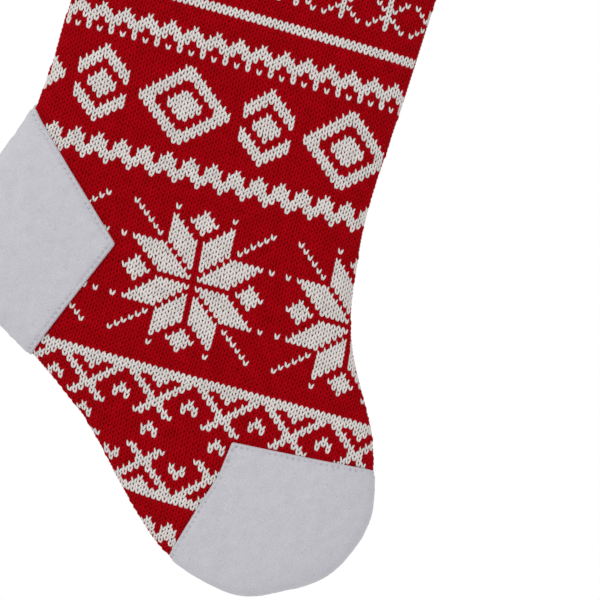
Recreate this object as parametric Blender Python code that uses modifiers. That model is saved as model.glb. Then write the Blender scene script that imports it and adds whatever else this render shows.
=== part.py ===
"""A knitted hanging stocking with fleece heel, toe and cuff, in metres, +Z up.

The origin is where a hook carries the loop, +X points to the toe side and +Y to the wall.
Everything but the loop hangs from one empty at the loop's sewn root and leans with it.
"""
import math

import bmesh
import bpy
from mathutils import Vector

MM = 0.001

# Driving dimensions, in millimetres
LOOP_DROP = 60.0          # hook to the loop's sewn root
LEAN_DEG = 17.0           # the leg's lean as stored; left to itself it settles near 21
CUFF_TOP = -3.0           # the mouth's fold, below the root
CUFF_BOTTOM = -103.0
CUFF_MIDDLE = -56.0       # a row of points halfway down the cuff, for its curve
FOLD_DROP = 6.0           # the cuff starts to turn over the mouth that far below its top
FOLD_SHOULDER = 1.5       # the fold's two shoulders lie that far below its top
FOLD_OUTER = -2.5         # and at these depths, with the crown between
FOLD_CROWN = 0.8
FOLD_INNER = 2.0          # this one from the turned-in part's inner face
FACING_BOTTOM = -38.0     # where the cuff's turned-in part ends, inside
WALL_TOP = -11.0          # the knit and the lining end under the fold
WALL_TOP_GAP = 1.2        # the fold's clearance over them
BODY_HALF = 13.0          # half the stocking's thickness
MOUTH_HALF = 20.0         # the same at the open mouth
MOUTH_FLARE_FROM = -170.0
EDGE_ROUNDING = 45.0      # how far in from the outline the walls round off
RIM_HALF = 1.0            # each panel's edge, from the middle plane
GAP = 0.3                 # clearance between pieces that touch

KNIT_THICK = 2.2
LINING_THICK = 0.8
PATCH_THICK = 2.4
CUFF_THICK = 4.2
FACING_THICK = 2.2
THREAD_RADIUS = 0.4
STITCH_INSET = 1.9        # topstitching, from a patch's free edge
STITCH_END = 6.0          # it stops that far inside the outline, where the side seam takes over
STITCH_LIFT = 0.6         # its extra clearance over the curved fleece
STITCH_STEP = 5.0
HEM_RISE = 7.0            # hem stitching, above the cuff's lower edge
TAPE_WIDTH = 10.0
TAPE_THICK = 1.6
TAB_TOP = -2.6
TAB_BOTTOM = -34.0
TACK_TOP = -14.0
TACK_HEIGHT = 12.0
TACK_ROWS = 10
LOOP_FOOT = 1.3           # the legs start that far above the root
LOOP_CLOSED = 7.0         # they lie side by side up to here
LOOP_PARTING = [(2.4, 15.0), (4.9, 28.0), (7.3, 41.0)]  # then each leaves the middle: X, Z
LOOP_HALF = 8.2           # half the loop's width, to the middle of the tape
LOOP_CORNER = 5.2

# How deep each layer's outer face lies under the knit's outer face
KNIT_DEPTH = 0.0
LINING_DEPTH = KNIT_THICK + 0.6
FACING_DEPTH = LINING_DEPTH + LINING_THICK + 1.0
PATCH_DEPTH = -(GAP + PATCH_THICK)
CUFF_DEPTH = -(GAP + CUFF_THICK)

# The outline's stations: the point on the back, heel and sole side, and the one across from it
# on the front, instep and toe side. X to the toe side and Z up, from the loop's root.
STATIONS = [
    ((-12.5, CUFF_TOP), (168.3, CUFF_TOP)),
    ((-12.5, -126.0), (167.3, -126.0)),
    ((-12.7, -245.0), (162.8, -247.0)),
    ((-15.8, -301.0), (159.3, -301.0)),
    ((-27.0, -332.0), (160.8, -331.0)),
    ((-33.7, -369.0), (163.8, -356.0)),
    ((-22.5, -396.0), (168.0, -372.0)),
    ((-3.3, -410.0), (173.0, -383.5)),
    ((13.9, -420.0), (178.1, -393.0)),
    ((48.5, -444.8), (189.9, -414.0)),
    ((72.1, -470.0), (196.0, -432.8)),
    ((96.0, -493.6), (200.0, -451.7)),
    ((112.5, -503.6), (199.5, -462.5)),
    ((129.3, -508.8), (196.3, -473.5)),
    ((142.8, -511.0), (187.5, -489.5)),
    ((154.5, -509.5), (176.0, -498.5)),
]
LAST_STATION = len(STATIONS) - 1
# The patches' free edges, each from one side of the outline to the other, and past it
HEEL_SEAM = [(-72.5, -247.4), (41.7, -356.6), (-26.0, -515.0)]
HEEL_OUTSIDE = [(-120.0, -515.0), (-120.0, -247.4)]
TOE_SEAM = [
    (222.0, -431.0), (158.2, -435.1), (123.6, -437.1), (121.3, -454.8), (115.4, -473.2),
    (107.9, -498.5), (95.6, -540.0),
]
TOE_OUTSIDE = [(222.0, -540.0)]
LEG_ROWS = 7
FOOT_ROWS_PER_STATION = 2
COLUMNS = 12

COLOURS = {
    "red_yarn": ((0.30, 0.012, 0.020, 1), 0.85),
    "ivory_yarn": ((0.78, 0.76, 0.72, 1), 0.85),
    "fleece": ((0.78, 0.79, 0.84, 1), 0.95),
    "lining": ((0.62, 0.60, 0.57, 1), 0.8),
    "white_thread": ((0.80, 0.80, 0.82, 1), 0.6),
    "red_thread": ((0.26, 0.012, 0.020, 1), 0.6),
}


def smooth_step(x):
    """0 up to 0, 1 from 1, and a smooth rise between."""
    x = min(max(x, 0.0), 1.0)
    return x * x * (3 - 2 * x)


def side_point(side, t):
    """The outline on one side (0 back and sole, 1 front and instep) at station t, and its slope."""
    i = min(int(t), LAST_STATION - 1)
    before, a, b, after = (
        Vector(STATIONS[min(max(k, 0), LAST_STATION)][side]) for k in (i - 1, i, i + 1, i + 2)
    )
    start_slope = (b - before) / 2 if i > 0 else b - a
    end_slope = (after - a) / 2 if i < LAST_STATION - 1 else b - a
    f = t - i
    point = (
        a * (2 * f**3 - 3 * f**2 + 1) + start_slope * (f**3 - 2 * f**2 + f)
        + b * (3 * f**2 - 2 * f**3) + end_slope * (f**3 - f**2)
    )
    slope = (
        a * (6 * f**2 - 6 * f) + start_slope * (3 * f**2 - 4 * f + 1)
        + b * (6 * f - 6 * f**2) + end_slope * (3 * f**2 - 2 * f)
    )
    return point, slope.normalized()


def outline(steps_per_station=6):
    """The whole outline from the mouth's back corner round the toe to its front corner."""
    ts = [k / steps_per_station for k in range(LAST_STATION * steps_per_station + 1)]
    down = [side_point(0, t)[0] for t in ts]
    up = [side_point(1, t)[0] for t in reversed(ts)]
    above = Vector((0.0, 200.0))
    return [down[0] + above, *down, *up, up[-1] + above]


OUTLINE = outline()


def edge_distance(p):
    """How far p lies inside the outline. It is negative outside."""
    best, inside = math.inf, False
    for a, b in zip(OUTLINE, OUTLINE[1:] + OUTLINE[:1]):
        if (a.y > p.y) != (b.y > p.y):
            inside ^= p.x < a.x + (b.x - a.x) * (p.y - a.y) / (b.y - a.y)
        along = b - a
        f = min(max((p - a).dot(along) / along.length_squared, 0.0), 1.0)
        if a is not OUTLINE[-1]:
            best = min(best, (p - a - along * f).length)
    return best if inside else -best


def half_depth(p, layer):
    """A layer's distance from the middle plane at p, where layer is its depth under the knit."""
    flare = smooth_step((p.y - MOUTH_FLARE_FROM) / (CUFF_TOP - MOUTH_FLARE_FROM))
    full = BODY_HALF + (MOUTH_HALF - BODY_HALF) * flare - layer - RIM_HALF
    f = min(max((edge_distance(p) - layer) / EDGE_ROUNDING, 0.0), 1.0)
    return RIM_HALF + full * math.sqrt(1 - (1 - f) ** 2)


def skin(t, s, layer, side, z=None):
    """A point of a layer, at station t and share s of the way across, on the side -1 or 1."""
    (back, back_slope), (front, front_slope) = side_point(0, t), side_point(1, t)
    back = back + Vector((-back_slope.y, back_slope.x)) * layer
    front = front + Vector((front_slope.y, -front_slope.x)) * layer
    p = back.lerp(front, s)
    if z is not None:
        p.y = z
    return Vector((p.x, side * half_depth(p, layer), p.y)) * MM


def on_layer(p, layer, side):
    """The point of a layer over the plane point p."""
    return Vector((p.x, side * half_depth(p, layer), p.y)) * MM


def shares():
    """The columns' shares of the width, closer together near the edges."""
    return [(1 - math.cos(math.pi * k / COLUMNS)) / 2 for k in range(COLUMNS + 1)]


def leg_station(z):
    """The station at height z, on the leg's straight top."""
    return (CUFF_TOP - z) / (CUFF_TOP - STATIONS[1][0][1])


def stations(top):
    """The rows' stations, from height top to the toe."""
    leg_end = 2.0
    start = leg_station(top)
    leg = [start + (leg_end - start) * k / LEG_ROWS for k in range(LEG_ROWS)]
    count = int((LAST_STATION - leg_end) * FOOT_ROWS_PER_STATION)
    return leg + [leg_end + k / FOOT_ROWS_PER_STATION for k in range(count + 1)]


def material(name):
    found = bpy.data.materials.get(name)
    if found:
        return found
    colour, roughness = COLOURS[name]
    made = bpy.data.materials.new(name)
    made.use_nodes = True
    shader = made.node_tree.nodes["Principled BSDF"]
    shader.inputs["Base Color"].default_value = colour
    shader.inputs["Roughness"].default_value = roughness
    shader.inputs["Metallic"].default_value = 0.0
    made.diffuse_color = colour
    return made


def collection(name):
    made = bpy.data.collections.new(name)
    bpy.context.scene.collection.children.link(made)
    return made


def add(name, data, parent, slot, group):
    made = bpy.data.objects.new(name, data)
    group.objects.link(made)
    made.parent = parent
    data.materials.append(material(slot))
    return made


def finish_mesh(name, bm):
    """The mesh of a closed bmesh, with its faces pointing out."""
    bmesh.ops.recalc_face_normals(bm, faces=bm.faces)
    if bm.calc_volume(signed=True) < 0:
        bmesh.ops.reverse_faces(bm, faces=bm.faces)
    mesh = bpy.data.meshes.new(name)
    bm.to_mesh(mesh)
    bm.free()
    return mesh


def loft(name, rings, parent, slot, group):
    """A solid through closed rings of points, with its two ends filled."""
    bm = bmesh.new()
    loops = [[bm.verts.new(p) for p in ring] for ring in rings]
    count = len(rings[0])
    for a, b in zip(loops, loops[1:]):
        for k in range(count):
            n = (k + 1) % count
            bm.faces.new((a[k], a[n], b[n], b[k]))
    bm.faces.new(loops[0])
    bm.faces.new(loops[-1])
    mesh = finish_mesh(name, bm)
    mesh.shade_smooth()
    mesh.set_sharp_from_angle(angle=math.radians(40))
    return add(name, mesh, parent, slot, group)


def wall(name, top, outer, thick, side, parent, slot, group):
    """One half of a layer of the stocking: a thin wall lofted from the mouth to the toe."""
    rings = [
        [skin(t, s, outer, side) for s in shares()]
        + [skin(t, s, outer + thick, side) for s in reversed(shares())]
        for t in stations(top)
    ]
    return loft(name, rings, parent, slot, group)


def prism(name, corners, parent, group):
    """An upright cutter of that outline, right through the stocking."""
    reach = 60 * MM
    bm = bmesh.new()
    face = bm.faces.new([bm.verts.new((x * MM, -reach, z * MM)) for x, z in corners])
    grown = bmesh.ops.extrude_face_region(bm, geom=[face])["geom"]
    bmesh.ops.translate(
        bm, vec=(0, 2 * reach, 0), verts=[v for v in grown if isinstance(v, bmesh.types.BMVert)]
    )
    mesh = finish_mesh(name, bm)
    made = bpy.data.objects.new(name, mesh)
    group.objects.link(made)
    made.parent = parent
    made.hide_render = True
    made.display_type = "WIRE"
    return made


def patch(name, cutter, side, parent, group):
    """A fleece patch: the part of a layer over the knit that lies inside the cutter."""
    made = wall(name, CUFF_BOTTOM - GAP, PATCH_DEPTH, PATCH_THICK, side, parent, "fleece", group)
    cut = made.modifiers.new("trim", "BOOLEAN")
    cut.operation = "INTERSECT"
    cut.object = cutter
    return made


def cuff(name, side, parent, group):
    """A cuff half: outside wall, fold over the mouth, and the part turned in."""
    inner = FACING_DEPTH + FACING_THICK
    section = [
        (CUFF_DEPTH, CUFF_BOTTOM), (CUFF_DEPTH, CUFF_MIDDLE), (CUFF_DEPTH, CUFF_TOP - FOLD_DROP),
        (FOLD_OUTER, CUFF_TOP - FOLD_SHOULDER), (FOLD_CROWN, CUFF_TOP),
        (inner - FOLD_INNER, CUFF_TOP - FOLD_SHOULDER), (inner, CUFF_TOP - FOLD_DROP),
        (inner, FACING_BOTTOM), (FACING_DEPTH, FACING_BOTTOM),
        (FACING_DEPTH, WALL_TOP + WALL_TOP_GAP), (-GAP, WALL_TOP + WALL_TOP_GAP),
        (-GAP, CUFF_MIDDLE), (-GAP, CUFF_BOTTOM),
    ]
    rings = [
        [skin(leg_station(z), s, depth, side, z) for depth, z in section] for s in shares()
    ]
    return loft(name, rings, parent, "fleece", group)


def thread(name, points, radius, parent, slot, group):
    """A round thread along points that are given in metres."""
    data = bpy.data.curves.new(name, "CURVE")
    data.dimensions = "3D"
    data.bevel_depth = radius * MM
    data.bevel_resolution = 1
    data.use_fill_caps = True
    spline = data.splines.new("POLY")
    spline.points.add(len(points) - 1)
    for knot, p in zip(spline.points, points):
        knot.co = (*p, 1)
    return add(name, data, parent, slot, group)


def stitch_line(seam):
    """A line of plane points beside a seam, on its right hand, that stops short of the outline."""
    seam = [Vector(p) for p in seam]
    sides = [(b - a).normalized() for a, b in zip(seam, seam[1:])]
    rights = [Vector((d.y, -d.x)) for d in sides]
    corners = [seam[0] + rights[0] * STITCH_INSET]
    for p, before, after in zip(seam[1:], rights, rights[1:]):
        corners.append(p + (before + after) * STITCH_INSET / (1 + before.dot(after)))
    corners.append(seam[-1] + rights[-1] * STITCH_INSET)
    points = []
    for a, b in zip(corners, corners[1:]):
        count = math.ceil((b - a).length / STITCH_STEP)
        points += [a.lerp(b, k / count) for k in range(count)]
    return [p for p in points if edge_distance(p) > STITCH_END]


def topstitch(name, seam, side, parent, group):
    depth = PATCH_DEPTH - GAP - THREAD_RADIUS - STITCH_LIFT
    points = [on_layer(p, depth, side) for p in stitch_line(seam)]
    return thread(name, points, THREAD_RADIUS, parent, "white_thread", group)


def hem_stitch(name, side, parent, group):
    z = CUFF_BOTTOM + HEM_RISE
    depth = CUFF_DEPTH - GAP - THREAD_RADIUS
    points = [skin(leg_station(z), s, depth, side, z) for s in shares()[1:-1]]
    return thread(name, points, THREAD_RADIUS, parent, "white_thread", group)


def side_seam(parent, group):
    """The seam that joins the panels: a thread between their edges, all round."""
    radius = RIM_HALF - GAP
    middle = KNIT_THICK / 2
    ts = [k / 2 for k in range(LAST_STATION * 2 + 1)]
    points = []
    for side, order in ((0, ts), (1, ts[::-1])):
        for t in order:
            p, slope = side_point(side, t)
            inward = Vector((-slope.y, slope.x)) if side == 0 else Vector((slope.y, -slope.x))
            p = p + inward * middle
            if t < 0.25:
                p.y = WALL_TOP
            points.append(Vector((p.x, 0, p.y)) * MM)
    return thread("side_seam", points, radius, parent, "red_thread", group)


def strip(name, path, parent, slot, group):
    """A tape: its middle line swept across its width, then thickened."""
    bm = bmesh.new()
    half = TAPE_WIDTH / 2 * MM
    pairs = [
        (bm.verts.new((x * MM, -half, z * MM)), bm.verts.new((x * MM, half, z * MM)))
        for x, z in path
    ]
    for (a, b), (c, d) in zip(pairs, pairs[1:]):
        bm.faces.new((a, b, d, c))
    mesh = bpy.data.meshes.new(name)
    bm.to_mesh(mesh)
    bm.free()
    made = add(name, mesh, parent, slot, group)
    thick = made.modifiers.new("thickness", "SOLIDIFY")
    thick.thickness = TAPE_THICK * MM
    thick.offset = 0
    thick.use_even_offset = True
    return made


def hanging_loop(parent, group):
    """The loop: two legs that rise side by side and part round the hook's place."""
    leg = TAPE_THICK / 2 + GAP
    top = LOOP_DROP + TAPE_THICK / 2
    centre = Vector((LOOP_HALF - LOOP_CORNER, top - LOOP_CORNER))
    right = [(leg, LOOP_FOOT), (leg, LOOP_CLOSED)] + LOOP_PARTING
    for k in range(7):
        angle = math.radians(90 * k / 6)
        right.append(
            (centre.x + LOOP_CORNER * math.cos(angle), centre.y + LOOP_CORNER * math.sin(angle))
        )
    left = [(-x, z) for x, z in reversed(right)]
    return strip("hanging_loop", right + left, parent, "ivory_yarn", group)


def bar_tack(parent, group):
    """A zigzag of thread across the tab's face, towards the mouth."""
    face = TAPE_THICK + GAP + THREAD_RADIUS
    reach = TAPE_WIDTH / 2 - 1.5
    points = []
    for k in range(TACK_ROWS + 1):
        z = TACK_TOP - TACK_HEIGHT * k / TACK_ROWS
        points.append(Vector((face, reach if k % 2 else -reach, z)) * MM)
    return thread("loop_bar_tack", points, THREAD_RADIUS, parent, "white_thread", group)


def loop_tab(parent, group):
    """The loop's sewn-in ends, folded flat on each other inside the cuff's back corner."""
    bm = bmesh.new()
    bmesh.ops.create_cube(bm, size=1)
    for v in bm.verts:
        v.co.x *= 2 * TAPE_THICK * MM
        v.co.y *= TAPE_WIDTH * MM
        v.co.z = ((TAB_TOP + TAB_BOTTOM) / 2 + v.co.z * (TAB_TOP - TAB_BOTTOM)) * MM
    mesh = bpy.data.meshes.new("loop_sewn_tab")
    bm.to_mesh(mesh)
    bm.free()
    return add("loop_sewn_tab", mesh, parent, "ivory_yarn", group)


def main():
    for existing in list(bpy.data.objects):
        bpy.data.objects.remove(existing)
    parts = collection("hanging_stocking")
    cutters = collection("cutters")

    root = bpy.data.objects.new("loop_root", None)
    root.location = (0, 0, -LOOP_DROP * MM)
    parts.objects.link(root)
    swing = bpy.data.objects.new("stocking_swing", None)
    swing.location = root.location
    swing.rotation_euler = (0, math.radians(LEAN_DEG), 0)
    parts.objects.link(swing)

    hanging_loop(root, parts)
    loop_tab(swing, parts)
    bar_tack(swing, parts)
    side_seam(swing, parts)

    heel = prism("heel_cutter", HEEL_SEAM + HEEL_OUTSIDE, swing, cutters)
    toe = prism("toe_cutter", TOE_SEAM + TOE_OUTSIDE, swing, cutters)
    for word, side in (("front", -1), ("back", 1)):
        wall(f"{word}_knit_panel", WALL_TOP, KNIT_DEPTH, KNIT_THICK, side, swing, "red_yarn", parts)
        wall(f"{word}_lining", WALL_TOP, LINING_DEPTH, LINING_THICK, side, swing, "lining", parts)
        patch(f"{word}_heel_patch", heel, side, swing, parts)
        patch(f"{word}_toe_patch", toe, side, swing, parts)
        topstitch(f"{word}_heel_topstitch", HEEL_SEAM, side, swing, parts)
        topstitch(f"{word}_toe_topstitch", TOE_SEAM[::-1], side, swing, parts)
        cuff(f"{word}_cuff", side, swing, parts)
        hem_stitch(f"{word}_cuff_hem_stitch", side, swing, parts)


main()
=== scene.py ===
"""The looks of the hanging stocking, built round its CAD frame.

Lengths are in millimetres in the garment's own plane: x to the toe side and z up, from the loop's
root, and y to the wall. That plane leans with the leg; to_frame() turns it into the frame's metres.
Every cloth is cut flat and laid over the stocking's puffed shape by place().
"""

import math

import bmesh
import bpy
import numpy as np
from mathutils import Matrix, Vector, geometry


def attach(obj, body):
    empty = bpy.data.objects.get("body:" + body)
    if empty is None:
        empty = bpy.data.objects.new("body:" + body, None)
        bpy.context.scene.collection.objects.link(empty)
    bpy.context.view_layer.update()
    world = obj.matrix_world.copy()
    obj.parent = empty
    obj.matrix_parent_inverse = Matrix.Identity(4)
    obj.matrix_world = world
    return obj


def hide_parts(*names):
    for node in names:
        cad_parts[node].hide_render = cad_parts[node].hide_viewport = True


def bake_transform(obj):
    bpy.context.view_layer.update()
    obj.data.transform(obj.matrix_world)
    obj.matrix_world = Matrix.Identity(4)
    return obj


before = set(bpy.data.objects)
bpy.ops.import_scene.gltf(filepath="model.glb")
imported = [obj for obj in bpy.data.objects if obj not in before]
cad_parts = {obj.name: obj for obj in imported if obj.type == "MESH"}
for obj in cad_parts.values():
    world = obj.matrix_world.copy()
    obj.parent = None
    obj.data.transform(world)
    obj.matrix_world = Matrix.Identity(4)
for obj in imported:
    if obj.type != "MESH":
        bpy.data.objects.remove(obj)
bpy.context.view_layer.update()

MM = 0.001

# The stocking's shape, as in the CAD frame
LEAN = math.radians(17)
ROOT_DROP = 60.0          # the hook to the loop's root
MOUTH_Z = -3.0
WALL_TOP = -11.0          # the knit and the lining end there, under the cuff's fold
CUFF_BOTTOM = -103.0
BODY_HALF = 13.0          # half the thickness
MOUTH_HALF = 20.0         # the same at the open mouth
FLARE_FROM = -170.0
EDGE_ROUNDING = 45.0      # how far in from the outline the walls round off
RIM_HALF = 1.0            # a panel's edge, from the middle plane
CLOSED_HALF = 0.08        # the same for cloths that meet the other side's

# How deep each cloth's face lies under the knit's
KNIT_INNER = 2.1
LINING_FACE = 2.8
LINING_THICK = 0.8
PATCH_FACE = -2.7
PATCH_INNER = -0.3
CUFF_FACE = -4.5

# The knit, read from the photo
WALE = 2.963              # one stitch across
COURSE = 2.435            # one row
WALE_LEAN = 0.03          # the columns drift to the toe side on their way down
CHART_X = 83.4            # column 0, at the height of CHART_MIDDLE
CHART_MIDDLE = -365.0
CHART_TOP = -219.25       # the lower end of row 0
CHART_COLUMNS = (-45, 50)
CHART_ROWS = (-58, 130)
KNIT_WAVE = 90.0          # the columns and rows wave slowly, once in that height
YARN_RISE = 0.85          # the stitches stand that far over the backing
PIECE_FACES = 180000      # a piece of stitches has fewer faces than that

# The camera: the photo is 300 mm wide and turned against the hanging leg
VIEW_CENTRE = (138.05, -359.7)
VIEW_WIDTH = 300.0
VIEW_TURN = math.radians(15)
VIEW_DISTANCE = 1.4
SENSOR = 36.0

STRIPE = ["X"]
ZIGZAG_DOTTED = ["X...", "XX.X", "XXXX", ".XXX", "..X.", "X.X."]
ZIGZAG = ["X...", "XX.X", "XX.X", "XXXX", ".XXX", "..X."]
SMALL_FLAKE = ["X..X..X.", ".X.X.X..", "..XXX...", "...X....", "..XXX...", ".X.X.X..", "X..X..X."]
BIG_DIAMOND = [
    ".......XX.......", "......XXXX......", ".....XXXXXX.....", "....XXX..XXX....",
    "...XXX....XXX...", "..XXX..XX..XXX..", ".XXX..XXXX..XXX.", "XXX..XXXXXX..XXX",
]
SMALL_DIAMOND = [
    "....X....", "...XXX...", "..XXXXX..", ".XXX.XXX.",
    "XXX...XXX", "XX..X..XX", "X..XXX..X", "..XXXXX..",
]
FLAKE_QUARTER = [
    "........X....X", ".X..........XX", "..X.....X..XXX", "...X....XX..XX", "....X...XXX..X",
    ".....X..XXXX..", "......X.XXXXX.", "........XXXXX.", "X.XXXXXX.XXXX.", "...XXXXXX.XXX.",
    "....XXXXXX.XX.", ".....XXXXXX.X.", "...X..XXXXXX..", "..XXX..XXXXXX.", ".XXXXX........",
]
TRELLIS_HALF = [
    "XXXXXXXXXXXX", "XXXXXXXXXXXX", ".XX..XXX..XX", "..XX..X..XX.", "...XX...XX..",
    "X...XX.XX...", "XX...XXX...X", ".X...XXX...X", "....XX.XX...", "...XX...XX..",
]
TRELLIS_MIDDLE = [
    "............", "......X.....", ".....XXX....", ".....X.X....", "............", "............",
]


def mirrored_rows(rows, middle=()):
    return rows + list(middle) + rows[::-1]


def diamond_rows():
    half = [f"{big}..{small}.." for big, small in zip(BIG_DIAMOND, SMALL_DIAMOND)]
    return mirrored_rows(half)


def flake_rows():
    upper = [f"{row}{row[-2::-1]}.." for row in FLAKE_QUARTER]
    return upper + upper[-2::-1]


# Each band of the pattern: the red rows over it, the column of its first character, its rows
BANDS = [
    (0, 3, SMALL_FLAKE),
    (4, 0, STRIPE * 2),
    (4, 3, ZIGZAG_DOTTED),
    (2, -16, diamond_rows()),
    (2, 3, ZIGZAG),
    (4, -13, flake_rows()),
    (4, -7, mirrored_rows(TRELLIS_HALF, TRELLIS_MIDDLE)),
    (4, 2, ZIGZAG),
]


def chart_rows():
    """The pattern's rows from the small snowflakes down, each as (first column, row) or None for red."""
    rows = []
    for gap, first, band in BANDS:
        rows += [None] * gap + [(first, row) for row in band]
    return rows


CHART = chart_rows()
FLAKE_ROWS = len(SMALL_FLAKE)


def is_ivory(column, row):
    """The colour at a column and a row. Over the small snowflakes the chart runs in mirror image."""
    row = row + FLAKE_ROWS - 1
    if row < 0:
        row = FLAKE_ROWS - 1 - row
    if row >= len(CHART) or CHART[row] is None:
        return False
    first, text = CHART[row]
    return text[(column - first) % len(text)] == "X"


# ---- the garment's plane and shape

def smooth_step(x):
    x = np.clip(x, 0, 1)
    return x * x * (3 - 2 * x)


def to_frame(points):
    """Garment points in millimetres as points of the frame, in metres."""
    x, y, z = points[:, 0], points[:, 1], points[:, 2]
    c, s = math.cos(LEAN), math.sin(LEAN)
    return np.stack([x * c + z * s, y, z * c - x * s - ROOT_DROP], 1) * MM


def to_garment(points):
    """Points of the frame, in metres, as garment points in millimetres."""
    x, y, z = points[:, 0] / MM, points[:, 1] / MM, points[:, 2] / MM + ROOT_DROP
    c, s = math.cos(LEAN), math.sin(LEAN)
    return np.stack([x * c - z * s, y, x * s + z * c], 1)


def border(node):
    """The border of a front CAD sheet's outer face, as one chain of (x, z) that starts at its top."""
    bm = bmesh.new()
    bm.from_mesh(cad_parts[node].data)
    bmesh.ops.remove_doubles(bm, verts=bm.verts, dist=1e-6)
    bm.verts.ensure_lookup_table()
    flat = to_garment(np.array([v.co for v in bm.verts]))[:, [0, 2]]
    hidden = [
        f for f in bm.faces
        if f.normal.y > -0.02 or all(flat[v.index, 1] > WALL_TOP - 0.2 for v in f.verts)
    ]
    bmesh.ops.delete(bm, geom=hidden, context="FACES_ONLY")
    nexts = {}
    for e in bm.edges:
        if len(e.link_faces) == 1:
            a, b = (v.index for v in e.verts)
            nexts.setdefault(a, []).append(b)
            nexts.setdefault(b, []).append(a)
    bm.free()
    chain = flat[longest_chain(nexts)]
    start = int(np.argmax(chain[:, 1] - 0.01 * chain[:, 0]))
    return np.roll(chain, -start, axis=0)


def longest_chain(nexts):
    """The longest closed walk through a border's points."""
    left, best = set(nexts), []
    while left:
        walk = [min(left)]
        while True:
            left.discard(walk[-1])
            ahead = [n for n in nexts[walk[-1]] if n in left]
            if not ahead:
                break
            walk.append(ahead[0])
        if len(walk) > len(best):
            best = walk
    return best


def distances_along(line):
    return np.concatenate([[0], np.cumsum(np.linalg.norm(np.diff(line, axis=0), axis=1))])


def directions(line):
    """The unit vectors along a line, and those to its right."""
    step = np.gradient(line, axis=0)
    step /= np.linalg.norm(step, axis=1)[:, None]
    return step, np.stack([step[:, 1], -step[:, 0]], 1)


def resampled(line, step):
    """The line again, with points step apart."""
    along = distances_along(line)
    at = np.linspace(0, along[-1], max(2, round(along[-1] / step) + 1))
    return np.stack([np.interp(at, along, line[:, k]) for k in range(2)], 1)


def smoothed(line, coarse, fine):
    """The line with its corners cut round, its two ends kept."""
    line = resampled(line, coarse)
    for _ in range(3):
        a, b = line[:-1], line[1:]
        cut = np.stack([0.75 * a + 0.25 * b, 0.25 * a + 0.75 * b], 1).reshape(-1, 2)
        line = np.concatenate([line[:1], cut, line[-1:]])
    return resampled(line, fine)


def panel_outline():
    """The knit's outline from the mouth's back corner round the toe to its front corner."""
    chain = border("front_knit_panel")
    if chain[1, 1] > WALL_TOP - 1:
        chain = np.roll(chain[::-1], 1, axis=0)
    body = chain[chain[:, 1] < WALL_TOP - 0.5]
    if body[0, 0] > body[-1, 0]:
        body = body[::-1]
    ends = [[[body[k, 0], WALL_TOP]] for k in (0, -1)]
    return smoothed(np.concatenate([ends[0], body, ends[1]]), 5.0, 1.5)


def nearest_on(x, z, line):
    """How far points are from a line, and how far along it their nearest point is."""
    best = np.full(x.shape, np.inf)
    along_best = np.zeros(x.shape)
    start = 0.0
    for a, b in zip(line, line[1:]):
        d = b - a
        size = max(float(np.hypot(*d)), 1e-9)
        t = np.clip(((x - a[0]) * d[0] + (z - a[1]) * d[1]) / size**2, 0, 1)
        far = np.hypot(x - a[0] - t * d[0], z - a[1] - t * d[1])
        nearer = far < best
        best = np.where(nearer, far, best)
        along_best = np.where(nearer, start + t * size, along_best)
        start += size
    return best, along_best


def inside(x, z, polygon):
    """Which points lie inside a closed polygon."""
    found = np.zeros(x.shape, bool)
    for a, b in zip(polygon, np.roll(polygon, -1, axis=0)):
        if a[1] != b[1]:
            crosses = (a[1] > z) != (b[1] > z)
            found ^= crosses & (x < a[0] + (b[0] - a[0]) * (z - a[1]) / (b[1] - a[1]))
    return found


def between(grid, u, v):
    """A grid's values at fractional places in it."""
    i, j = u.astype(int), v.astype(int)
    f, g = u - i, v - j
    return (
        grid[i, j] * (1 - f) * (1 - g) + grid[i + 1, j] * f * (1 - g)
        + grid[i, j + 1] * (1 - f) * g + grid[i + 1, j + 1] * f * g
    )


class EdgeField:
    """The distance to the outline and the way inwards, kept on a grid of one point a millimetre."""

    def __init__(self, outline):
        above = np.array([0.0, 200.0])
        tall = np.concatenate([[outline[0] + above], outline[::2], [outline[-1], outline[-1] + above]])
        self.low = np.floor(tall.min(0)) - 20
        size = np.ceil(tall.max(0) - self.low + 20).astype(int)
        size[1] = int(40 - self.low[1])
        x, z = np.meshgrid(
            self.low[0] + np.arange(size[0]), self.low[1] + np.arange(size[1]), indexing="ij"
        )
        distance, _ = nearest_on(x, z, tall)
        distance = np.where(inside(x, z, tall), distance, -distance)
        deep = smooth_step((distance - 10) / 15)
        soft = distance.copy()
        for _ in range(40):
            soft[1:-1, 1:-1] = (
                soft[:-2, 1:-1] + soft[2:, 1:-1] + soft[1:-1, :-2] + soft[1:-1, 2:]
            ) / 4
        self.distance = distance + (soft - distance) * deep
        gx, gz = np.gradient(self.distance)
        size = np.maximum(np.hypot(gx, gz), 1e-6)
        self.inward = gx / size, gz / size

    def at(self, x, z):
        """The distance inside the outline, and the unit vector that points inwards."""
        u = np.clip(x - self.low[0], 0, self.distance.shape[0] - 1.001)
        v = np.clip(z - self.low[1], 0, self.distance.shape[1] - 1.001)
        distance, gx, gz = (between(grid, u, v) for grid in (self.distance, *self.inward))
        size = np.maximum(np.hypot(gx, gz), 1e-6)
        return distance, gx / size, gz / size


BULGES = np.arange(4.0, 30.0)
FLAT_STEP = 0.1
FLAT_FROM = -24.0


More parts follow.
